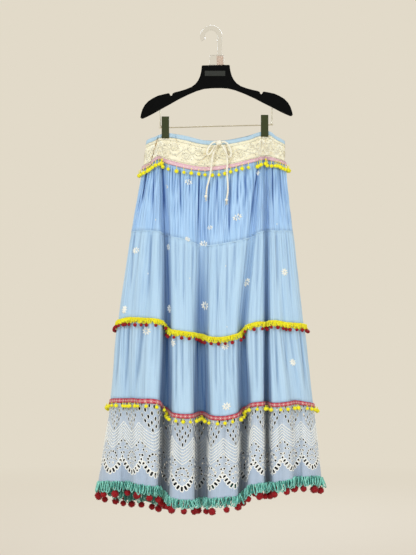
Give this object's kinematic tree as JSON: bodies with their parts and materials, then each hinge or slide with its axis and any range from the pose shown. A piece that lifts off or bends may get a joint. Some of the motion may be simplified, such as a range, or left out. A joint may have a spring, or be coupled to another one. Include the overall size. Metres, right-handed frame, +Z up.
{
  "type": "midi skirt on a clip hanger",
  "caption": "Light-blue tiered midi skirt with a lace drawstring waist, pompom braids and a scalloped eyelet border, hanging from a black clip hanger",
  "frame": {"origin": "inside top of the hanger's hook, where a rail would carry it", "axes": "+Z up along the hanging skirt, +X to the viewer's right, the skirt's front faces -Y"},
  "size_m": [0.5708, 0.1922, 1.2168],
  "materials": {
    "binding": "plain light-blue cotton",
    "lace": "cream cotton lace",
    "pink_braid": "woven pale-pink braid with yellow pompoms",
    "yoke": "mid-blue cotton with embroidered flowers",
    "tier": "light-blue cotton with embroidered flowers",
    "yellow_yarn": "chunky yellow loops with dark-red pompoms",
    "raspberry_braid": "woven raspberry braid with yellow pompoms",
    "border": "pale-blue eyelet cotton",
    "teal_loops": "teal yarn loops with dark-red pompoms",
    "cord": "twisted cream cord",
    "black_flocking": "black flocked",
    "rail_metal": "pale gold wire",
    "clear_acrylic": "clear",
    "clip_metal": "dark olive"
  },
  "bodies": {
    "root": {"waist_binding_front": "binding", "waist_binding_back": "binding", "lace_waistband_front": "lace", "lace_waistband_back": "lace", "waist_trim_front": "pink_braid", "waist_trim_back": "pink_braid", "yoke_front": "yoke", "yoke_back": "yoke", "tier_one_front": "tier", "tier_one_back": "tier", "loop_trim_front": "yellow_yarn", "loop_trim_back": "yellow_yarn", "tier_two_front": "tier", "tier_two_back": "tier", "border_braid_front": "raspberry_braid", "border_braid_back": "raspberry_braid", "eyelet_border_front": "border", "eyelet_border_back": "border", "hem_fringe_front": "teal_loops", "hem_fringe_back": "teal_loops", "drawstring_knot": "cord", "drawstring_loop_left": "cord", "drawstring_loop_right": "cord", "drawstring_tail_left": "cord", "drawstring_tail_right": "cord", "drawstring_end_left": "cord", "drawstring_end_right": "cord", "hanger_body": "black_flocking", "hanger_rail": "rail_metal", "hook": "clear_acrylic", "clip_left": "clip_metal", "clip_right": "clip_metal"}
  },
  "joints": []
}
